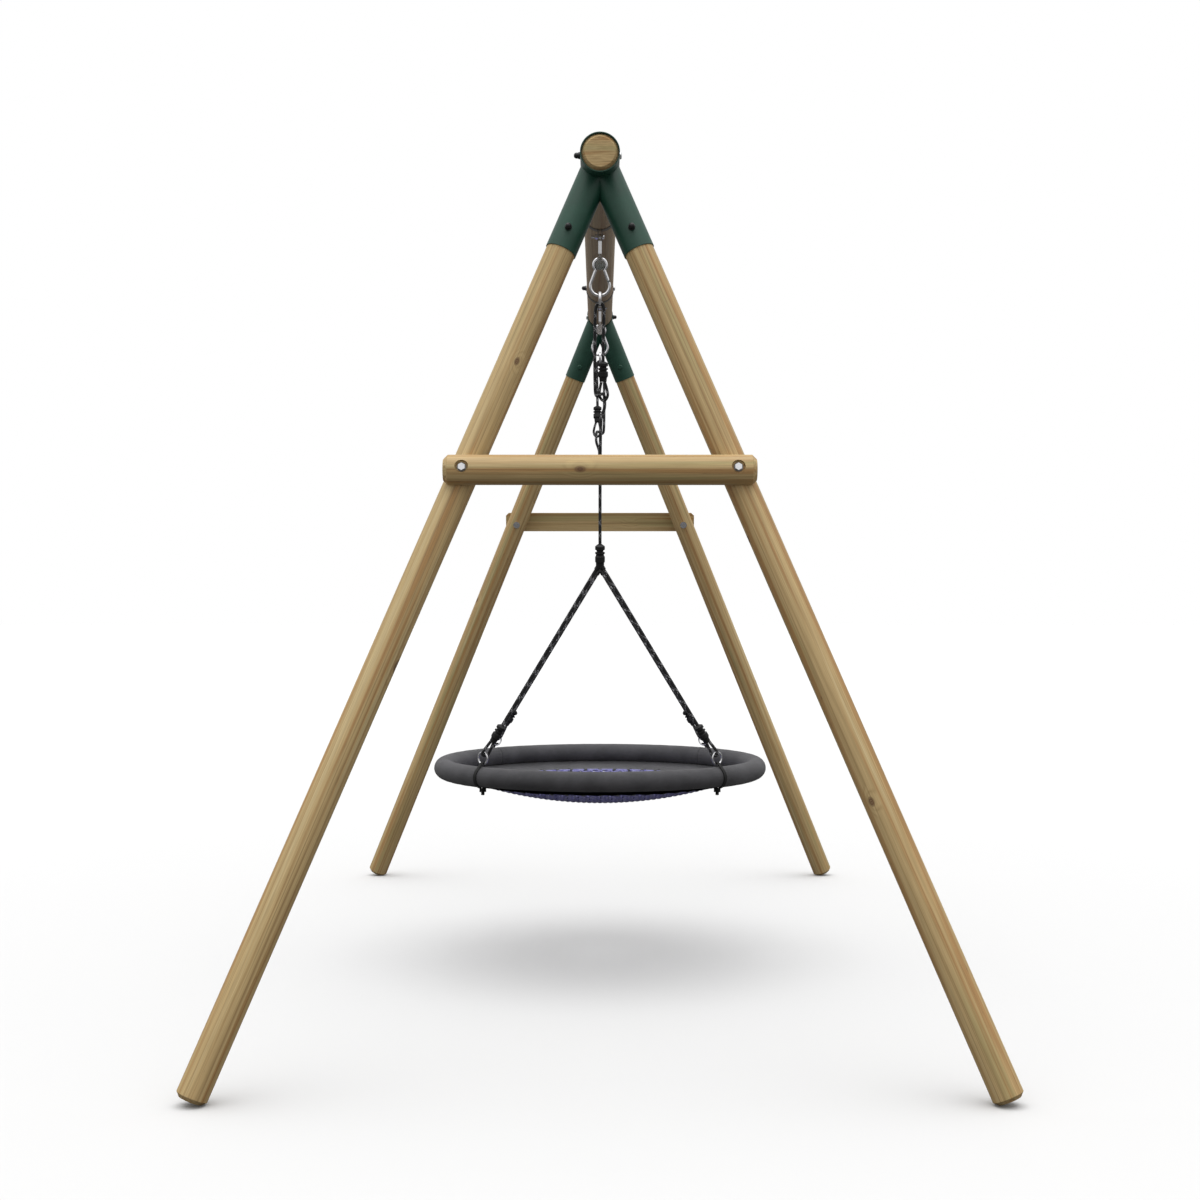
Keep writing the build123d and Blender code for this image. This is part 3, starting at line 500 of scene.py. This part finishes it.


# Green coated steel: fine orange peel, pale clouds and patches of dust
def paintLook(name, colour, rough, coat=0.35):
    look = Look(name, Roughness=rough)
    look.shader.inputs["Coat Weight"].default_value = coat
    look.shader.inputs["Coat Roughness"].default_value = 0.22
    place = look.place.outputs["Object"]
    peel = look.noise(place, 900.0, 2.0)
    cloud = look.noise(place, 14.0, 4.0, 0.6)
    pale = tuple(min(1.0, 1.7 * c + 0.012) for c in colour)
    tone = look.mix(look.between(cloud, 0.35, 0.75, 0.0, 0.45), colour, pale)
    dust = look.noise(place, 160.0, 5.0, 0.7)
    tone = look.mix(look.between(dust, 0.63, 0.8, 0.0, 0.25), tone, (0.16, 0.17, 0.15))
    shine = look.between(cloud, 0.3, 0.8, rough - 0.06, rough + 0.1)
    return look.finish(tone, shine, look.bump(peel, 0.0002, 0.35))


def metalLook(name, colour, rough, spread=0.1, scratch=0.5):
    look = Look(name, Metallic=1.0)
    place = look.place.outputs["Object"]
    spangle = look.node("TexVoronoi", {"Vector": place, "Scale": 260.0}, feature="F1").outputs["Color"]
    grey = look.node("RGBToBW", {0: spangle}).outputs[0]
    cloud = look.noise(place, 45.0, 4.0, 0.6)
    dark = tuple(0.72 * c for c in colour)
    tone = look.mix(look.between(cloud, 0.35, 0.8, 0.0, 0.55), colour, dark)
    tone = look.mix(look.math("MULTIPLY", grey, 0.22), tone, dark)
    shine = look.math("MULTIPLY_ADD", cloud, spread, rough)
    fine = look.noise(place, 1400.0, 2.0)
    return look.finish(tone, shine, look.bump(fine, 0.00008, scratch))


def mouldedLook(name, colour, rough, grain=1200.0):
    look = Look(name)
    place = look.place.outputs["Object"]
    fine = look.noise(place, grain, 3.0, 0.6)
    cloud = look.noise(place, 60.0, 4.0)
    pale = tuple(min(1.0, c * 1.9 + 0.008) for c in colour)
    tone = look.mix(look.between(cloud, 0.4, 0.75, 0.0, 0.6), colour, pale)
    shine = look.between(cloud, 0.3, 0.8, rough - 0.08, rough + 0.12)
    return look.finish(tone, shine, look.bump(fine, 0.00015, 0.5))


# Braided cover: the same strands as the mesh, with fine yarns and pale tracer strands both ways
def braidLook(name, colour, tracer, share, fuzz=0.35):
    look = Look(name, Roughness=0.78)
    look.shader.inputs["Sheen Weight"].default_value = fuzz
    look.shader.inputs["Sheen Roughness"].default_value = 0.45
    parts = look.node("SeparateXYZ", {0: look.place.outputs["UV"]})
    x, y = parts.outputs[0], parts.outputs[1]
    rising, falling = look.math("ADD", x, y), look.math("SUBTRACT", x, y)
    a = look.math("COSINE", look.math("MULTIPLY", rising, 8 * math.pi))
    b = look.math("COSINE", look.math("MULTIPLY", falling, 8 * math.pi))
    onTop = look.between(look.math("MULTIPLY", a, b), -0.15, 0.15)
    marked = look.math("LESS_THAN", look.math("FRACT", rising), share)
    other = look.math("LESS_THAN", look.math("FRACT", look.math("ADD", falling, 0.31)), share * 0.6)
    fleck = look.math("MULTIPLY", marked, onTop)
    fleck = look.math("MAXIMUM", fleck, look.math("MULTIPLY", other, look.math("SUBTRACT", 1.0, onTop)))
    place = look.place.outputs["Object"]
    yarn = look.noise(place, 1900.0, 3.0, 0.65)
    worn = look.noise(place, 38.0, 4.0, 0.6)
    fleck = look.math("MULTIPLY", fleck, look.between(yarn, 0.38, 0.58))
    paler = tuple(min(1.0, c * 2.1 + 0.012) for c in colour)
    wornTone = tuple(min(1.0, c + 0.05) for c in colour)
    base = look.mix(look.between(yarn, 0.3, 0.75), colour, paler)
    base = look.mix(look.between(worn, 0.5, 0.8, 0.0, 0.3), base, wornTone)
    tone = look.mix(fleck, base, tracer)
    edge = look.math("ABSOLUTE", look.math("MULTIPLY", a, b))
    normal = look.bump(yarn, 0.0003, 0.6)
    return look.finish(tone, None, look.bump(edge, 0.0004, 0.35, normal))


# black: painted shade on the cloth's undersides, and the colour of the dark sewn ends
shadeAndSeamBlack = (0.004, 0.004, 0.005)


# Seat fabric: a fine plain weave along the piece's own lengths, dull with a faint sheen
def weaveLook(name, colour, sheen, paintedShade, seams=None):
    rough, depth = 0.72, 0.00022
    look = Look(name)
    look.shader.inputs["Sheen Weight"].default_value = sheen
    look.shader.inputs["Sheen Roughness"].default_value = 0.5
    parts = look.node("SeparateXYZ", {0: look.place.outputs["UV"]})
    across = look.math("SINE", look.math("MULTIPLY", parts.outputs[0], 2 * math.pi))
    along = look.math("SINE", look.math("MULTIPLY", parts.outputs[1], 2 * math.pi))
    weave = look.math("MULTIPLY", across, along)
    place = look.place.outputs["Object"]
    cloud = look.noise(place, 9.0, 5.0, 0.6)
    fine = look.noise(place, 700.0, 3.0, 0.6)
    dark = tuple(c * 0.72 for c in colour)
    pale = tuple(min(1.0, c * 1.28 + 0.006) for c in colour)
    tone = look.mix(look.between(cloud, 0.3, 0.75), dark, pale)
    tone = look.mix(look.between(weave, -1.0, 1.0, 0.0, 0.22), tone, dark)
    tone = look.mix(look.between(fine, 0.55, 0.8, 0.0, 0.3), tone, pale)
    # painted shade: between two places across the cloth it is painted black and loses its sheen and
    # specular, standing in for the shade on the piece's underside
    after = look.math("GREATER_THAN", parts.outputs[0], paintedShade[0])
    before = look.math("LESS_THAN", parts.outputs[0], paintedShade[1])
    shadedStrip = look.math("MULTIPLY", after, before)
    tone = look.mix(shadedStrip, tone, shadeAndSeamBlack)
    for key, value in (("Sheen Weight", sheen), ("Specular IOR Level", 0.32)):
        look.tree.links.new(look.between(shadedStrip, 0.0, 1.0, value, 0.0), look.shader.inputs[key])
    # black too: the sewn ends along it
    if seams is not None:
        start = look.math("LESS_THAN", parts.outputs[1], seams[0])
        end = look.math("GREATER_THAN", parts.outputs[1], seams[1])
        tone = look.mix(look.math("MAXIMUM", start, end), tone, shadeAndSeamBlack)
    shine = look.between(cloud, 0.3, 0.8, rough - 0.07, rough + 0.08)
    normal = look.bump(weave, depth, 0.5)
    return look.finish(tone, shine, look.bump(fine, depth * 0.6, 0.35, normal))


looks = {
    "green_paint": paintLook("greenPaint", (0.008, 0.060, 0.036), 0.52, 0.12),
    "black_cap": mouldedLook("blackCap", (0.006, 0.006, 0.007), 0.38, 500.0),
    "bright_zinc": metalLook("brightZinc", (0.90, 0.90, 0.92), 0.10, 0.1),
    # a dull zinc whose dark grey is partly painted shade, standing in for the shade under the beam
    "dull_zinc": metalLook("shadedDullZinc", (0.23, 0.22, 0.21), 0.38, 0.2),
    "spring_steel": metalLook("springSteel", (0.55, 0.55, 0.56), 0.25),
    "ferrule_black": mouldedLook("ferruleBlack", (0.003, 0.003, 0.0035), 0.62),
    "foam": mouldedLook("foamGrey", (0.10, 0.10, 0.11), 0.9, 300.0),
    "hoop_steel": metalLook("hoopSteel", (0.5, 0.5, 0.51), 0.4, 0.15),
    "strap_black": mouldedLook("strapBlack", (0.003, 0.003, 0.003), 0.75, 1600.0),
}
slotOf = {s["node"]: s["material_slot"] for s in frame["record"]["subparts"]}
for node, slotName in slotOf.items():
    if slotName in looks:
        nodes[node].material_slots[0].material = looks[slotName]
ropeLook = braidLook("blackBraid", (0.006, 0.006, 0.007), (0.50, 0.50, 0.52), 0.20, 0.15)
for piece in ropePieces:
    piece.data.materials.append(ropeLook)
print("hard looks ready")

# Seat covers: quarter tubes of fabric drawn tight over foam, with hems, seams and puckers
seat = {
    "hoop": 0.536,
    "height": 0.655,
    "radius": 0.0340,
    "inner": 0.0314,
    "seamFrom": 0.018,
    "pucker": 0.00045,
    "swell": 0.0004,
    "threads": (170.0, 1440.0),
    # painted shade: the threads round the tube's underside are painted black and dull
    "black": (25.7, 55.8),
    "sewnEnds": (1.6, 1359.6),
}
coverLook = weaveLook("seatFabric", (0.068, 0.067, 0.073), 0.12, seat["black"], seat["sewnEnds"])


def smoothStep(value, low, high):
    t = np.clip((value - low) / (high - low), 0, 1)
    return t * t * (3 - 2 * t)


def addCover(name, node, startAngle, seamed):
    # outer skin: radius = r - seam grooves - hem + puckers that fade with distance from the band
    quarter = math.radians(90)
    edge = 0.00002 / seat["hoop"]
    rows, columns = 260, 96
    lay = np.linspace(0, 1, rows)
    angle = math.radians(startAngle) + edge + lay * (quarter - 2 * edge)
    fromEnd = np.minimum(lay, 1 - lay) * quarter * seat["hoop"]
    around = np.linspace(0, 2 * math.pi, columns, endpoint=False)
    d, a = fromEnd[:, None], around[None]
    waves = np.sin(19 * a + 3 * math.sin(startAngle)) + 0.6 * np.sin(31 * a + 1.7)
    fade = np.exp(-(((d - 0.012) / 0.016) ** 2))
    long = np.sin(7.3 * d * 12 + 2 * np.cos(a) + startAngle) * np.sin(2 * a + 9 * lay[:, None])
    radius = seat["radius"] - 0.0003 + seat["swell"] * 0.5 * long + seat["pucker"] * 0.5 * waves * fade
    radius = radius - 0.0009 * np.exp(-((d / 0.006) ** 2))
    if seamed:
        for place, deep in ((seat["seamFrom"], 0.0009), (seat["seamFrom"] + 0.0075, 0.00045)):
            radius = radius - deep * np.exp(-(((d - place) / 0.0011) ** 2))
    # the lengthwise seam lies low on the inner side, where the skirt is sewn in
    low = (around - math.radians(240) + math.pi) % (2 * math.pi) - math.pi
    radius = radius - 0.0008 * np.exp(-((low[None] * seat["radius"] / 0.0014) ** 2))
    # the end's hem rolls in to the foam
    inner = np.full((14, columns), seat["inner"])
    innerAngle = np.linspace(angle[-1], angle[0], 14)
    radii = np.concatenate([radius, inner])
    angles = np.concatenate([angle, innerAngle])[:, None]
    out = seat["hoop"] + radii * np.cos(a)
    height = seat["height"] + radii * np.sin(a)
    points = np.stack([out * np.cos(angles), out * np.sin(angles), height], -1)
    piece = addPiece(name, "swing", points[:, ::-1], ringed=True, endless=True, uvSize=seat["threads"])
    piece.data.materials.append(coverLook)
    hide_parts(node)
    return piece


for name, node, start, seamed in (
    ("rightCover", "right_cover", -45, False),
    ("farCover", "far_cover", 45, True),
    ("leftCover", "left_cover", 135, False),
    ("nearCover", "near_cover", 225, True),
):
    addCover(name, node, start, seamed)
print("covers ready")

# Skirt: a ring of cloth from the covers down to the net's edge rope
dish = {
    "radius": 1.400,
    "low": 0.539,
    "edge": 0.4055,
    "coneIn": 0.412,
    "coneWidth": 0.107,
    "coneLow": 0.6025,
    "rise": 0.0186,
    "sag": 0.0013,
    "skirtIn": 0.4122,
    "skirtOut": 0.5185,
    "tabs": 48,
}


def dishHeight(across):
    return dish["low"] + dish["radius"] - np.sqrt(dish["radius"] ** 2 - across**2)


def skirtHeight(across):
    # a shallow cone with a slight sag: low + rise t - 4 sag t (1 - t), t from 0 inside to 1 outside
    t = (across - dish["coneIn"]) / dish["coneWidth"]
    return dish["coneLow"] + dish["rise"] * t - 4 * dish["sag"] * t * (1 - t)


# painted shade: the second half of the threads across, the skirt's underside, is painted black and dull
skirtLook = weaveLook("skirtFabric", (0.070, 0.070, 0.077), 0.2, (70.0, 200.0))


def addSkirt():
    # heights: the cone with a small wave that dies out towards the cover it's sewn to;
    # the inner edge is drawn in at each tab
    rows = 960
    angle = np.linspace(0, 2 * math.pi, rows, endpoint=False)[:, None]
    share = np.array([0, 0.04, 0.10, 0.25, 0.45, 0.65, 0.85, 0.95, 1.0])[None]
    scallop = 0.0012 * (0.5 - 0.5 * np.cos(angle * dish["tabs"]))
    inner = dish["skirtIn"] + scallop
    across = inner + (dish["skirtOut"] - inner) * share
    wave = 0.0009 * np.sin(angle * dish["tabs"]) * (1 - share) + 0.0007 * np.sin(angle * 13 + 5 * share)
    lift = 0.0044 * smoothStep(share, 0.85, 1.0)
    middle = skirtHeight(across) + wave * (1 - share) + lift
    hem = 0.0016 * (1 - smoothStep(share, 0.10, 0.14)) + 0.0007
    upper = np.stack([across * np.cos(angle), across * np.sin(angle), middle + hem], -1)
    lower = np.stack([across * np.cos(angle), across * np.sin(angle), middle - hem], -1)
    points = np.concatenate([upper, lower[:, ::-1]], axis=1)
    piece = addPiece("netSkirt", "swing", points, ringed=True, endless=True, uvSize=(140.0, 2900.0))
    piece.data.materials.append(skirtLook)
    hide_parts("net_skirt")
    return piece


addSkirt()

# Net: two families of ropes woven over and under, tied to an edge rope in the skirt's tabs
netLook = braidLook("netBraid", (0.125, 0.120, 0.300), (0.38, 0.38, 0.54), 0.3, 0.3)
net = {"pitch": 0.0255, "radius": 0.0036, "weave": 0.0025, "lift": 0.0038, "turn": 45.0}


def netRopes():
    # each rope: x = k pitch, y along it, z = dish + lift +- weave cos(pi y / pitch)
    count = int(dish["edge"] / net["pitch"])
    index = np.arange(-count, count + 1)[:, None]
    offset = index * net["pitch"]
    reach = np.sqrt(dish["edge"] ** 2 - offset**2)
    along = np.linspace(-1, 1, 230)[None] * reach
    tubes = []
    around = np.linspace(0, 2 * math.pi, 10, endpoint=False)
    for family in (0, 1):
        sign = np.where((index + family) % 2 == 0, 1.0, -1.0)
        rho = np.sqrt(along**2 + offset**2)
        tied = smoothStep(dish["edge"] - rho, 0.0, 0.02)
        weave = sign * net["weave"] * np.cos(math.pi * along / net["pitch"])
        height = dishHeight(rho) + net["lift"] + weave * tied
        turn = math.radians(net["turn"] + 90 * family)
        line = np.stack(
            [
                offset * np.cos(turn) - along * np.sin(turn),
                offset * np.sin(turn) + along * np.cos(turn),
                height,
            ],
            -1,
        )
        tangent = np.gradient(line, axis=1)
        tangent /= np.linalg.norm(tangent, axis=2)[..., None]
        side = np.cross(tangent, (0.0, 0.0, 1.0))
        side /= np.linalg.norm(side, axis=2)[..., None]
        up = np.cross(tangent, side)
        ring = np.cos(around)[:, None] * side[:, :, None] + np.sin(around)[:, None] * up[:, :, None]
        tubes.append(line[:, :, None] + net["radius"] * ring)
    return np.concatenate(tubes)


netPiece = addPiece("seatNet", "swing", netRopes(), ringed=True, capped=True, uvSize=(1.0, 26.0))
netPiece.data.materials.append(netLook)
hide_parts("seat_net")


def ringTube(name, across, height, radius, look, around=16, rows=720, twist=0.0, uv=60.0):
    # a rope round the seat: a circle swept round the vertical
    angle = np.linspace(0, 2 * math.pi, rows, endpoint=False)[:, None]
    a = np.linspace(0, 2 * math.pi, around, endpoint=False)[None]
    r = radius * (1 + twist * np.sin(3 * a + 260 * angle))
    out = across + r * np.cos(a)
    points = np.stack([out * np.cos(angle), out * np.sin(angle), height + r * np.sin(a)], -1)
    piece = addPiece(name, "swing", points[:, ::-1], ringed=True, endless=True, uvSize=(1.0, uv))
    piece.data.materials.append(look)
    return piece


edgeHeight = float(dishHeight(dish["edge"])) + 0.0038
ringTube("edgeRope", dish["edge"] + 0.001, edgeHeight, 0.0044, netLook, twist=0.05)

# Knots: each crossing is held by a small moulded wrap, four lobes round the two ropes
wrapLook = mouldedLook("netWrap", (0.095, 0.092, 0.230), 0.5)


def netWraps():
    count = int(dish["edge"] / net["pitch"]) // 2 * 2
    k = np.arange(-count, count + 1, 2)
    x, y = (g.ravel() * net["pitch"] for g in np.meshgrid(k, k))
    inside = np.hypot(x, y) < dish["edge"] - 0.012
    x, y = x[inside], y[inside]
    turn = math.radians(net["turn"])
    centre = np.stack(
        [x * math.cos(turn) - y * math.sin(turn), x * math.sin(turn) + y * math.cos(turn)], -1
    )
    height = dishHeight(np.hypot(x, y)) + net["lift"]
    # a flattened ball whose outline swells along the two ropes
    polar = np.linspace(0.12, math.pi - 0.12, 9)[:, None]
    a = np.linspace(0, 2 * math.pi, 20, endpoint=False)[None]
    reach = 0.0066 * (1 + 0.16 * np.cos(4 * a)) * np.sin(polar)
    ball = np.stack(
        [reach * np.cos(a + turn), reach * np.sin(a + turn), 0.0062 * np.cos(polar) + 0 * a], -1
    )
    points = ball[None] + np.concatenate([centre, height[:, None]], 1)[:, None, None]
    return points[:, ::-1]


wraps = addPiece("netWraps", "swing", netWraps(), ringed=True, capped=True)
wraps.data.materials.append(wrapLook)


def skirtTabs():
    # each tab is a loop of webbing round the edge rope: a stadium section, 11 mm wide
    t = np.linspace(0, 2 * math.pi, 28, endpoint=False)
    stretch = np.where(np.cos(t) > 0, 0.0165, 0.0)
    loops = []
    for grow in (0.0062, 0.0050):
        flatten = np.where(np.cos(t) > 0, 0.62, 1)
        loops.append(np.stack([grow * np.cos(t) + stretch, grow * np.sin(t) * flatten], -1))
    outer, inner = loops
    section = [(outer, -0.0055), (outer, 0.0055), (inner, 0.0055), (inner, -0.0055)]
    angle = (np.arange(dish["tabs"]) * 2 * math.pi / dish["tabs"])[:, None, None]
    columns = []
    for loop, side in section:
        out = dish["edge"] + 0.001 + loop[None, :, 0:1]
        lift = loop[None, :, 1:2] + edgeHeight + 0.14 * (out - dish["edge"])
        x = out * np.cos(angle) - side * np.sin(angle)
        y = out * np.sin(angle) + side * np.cos(angle)
        columns.append(np.concatenate([x, y, lift + 0 * x], -1))
    return np.stack(columns, 2)


tabs = addPiece("skirtTabs", "swing", skirtTabs(), ringed=True, endless=True, uvSize=(12.0, 30.0))
tabs.data.materials.append(skirtLook)
print("net and skirt ready")

# Floor and light: a plain pale ground and a soft sky, brightest overhead
studio = {
    "ground": 0.73,
    "far": 0.79,
    "bounce": 0.11,
    "top": 1.32,
    "side": 0.42,
    "under": 0.08,
    "sun": 1.2,
    "spread": 64.0,
}
bpy.ops.mesh.primitive_plane_add(size=160.0, location=(0, 0, -0.0003))
floor = bpy.context.object
floor.name = "floor"
floorLook = Look("paleFloor", Roughness=0.9)
floorLook.shader.inputs["Specular IOR Level"].default_value = 0.0
seen = floorLook.node("LightPath").outputs["Is Camera Ray"]
away = floorLook.vector("LENGTH", floorLook.place.outputs["Object"])
fading = floorLook.between(away, 1.0, 14.0)
pale = floorLook.mix(fading, (studio["ground"],) * 3, (studio["far"],) * 3)
floorLook.finish(floorLook.mix(seen, (studio["bounce"],) * 3, pale))
floor.data.materials.append(floorLook.material)
floor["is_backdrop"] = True

world = bpy.data.worlds.new("softSky")
world.use_nodes = True
scene.world = world
tree = world.node_tree
tree.nodes.clear()
skyPlace = tree.nodes.new("ShaderNodeTexCoord")
skyParts = tree.nodes.new("ShaderNodeSeparateXYZ")
skyHeight = tree.nodes.new("ShaderNodeMapRange")
skyRamp = tree.nodes.new("ShaderNodeValToRGB")
skySeen = tree.nodes.new("ShaderNodeLightPath")
skyMix = tree.nodes.new("ShaderNodeMix")
skyMix.data_type = "RGBA"
sky = tree.nodes.new("ShaderNodeBackground")
skyHeight.inputs["From Min"].default_value = -1.0
spots = skyRamp.color_ramp.elements
spots[0].position, spots[0].color = 0.45, (studio["under"],) * 3 + (1.0,)
spots[1].position, spots[1].color = 1.0, (studio["top"],) * 3 + (1.0,)
middle = spots.new(0.55)
middle.color = (studio["side"],) * 3 + (1.0,)
skyMix.inputs[7].default_value = (1.0, 1.0, 1.0, 1.0)
tree.links.new(skyPlace.outputs["Generated"], skyParts.inputs[0])
tree.links.new(skyParts.outputs[2], skyHeight.inputs["Value"])
tree.links.new(skyHeight.outputs[0], skyRamp.inputs[0])
tree.links.new(skySeen.outputs["Is Camera Ray"], skyMix.inputs[0])
tree.links.new(skyRamp.outputs[0], skyMix.inputs[6])
tree.links.new(skyMix.outputs[2], sky.inputs["Color"])
tree.links.new(sky.outputs[0], tree.nodes.new("ShaderNodeOutputWorld").inputs[0])

sunData = bpy.data.lights.new("overheadSun", "SUN")
sunData.energy = studio["sun"]
sunData.angle = math.radians(studio["spread"])
sun = bpy.data.objects.new("overheadSun", sunData)
sun.rotation_euler = (math.radians(6), 0, 0)
scene.collection.objects.link(sun)
scene.view_settings.view_transform = "Standard"

low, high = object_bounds()
print("light ready")
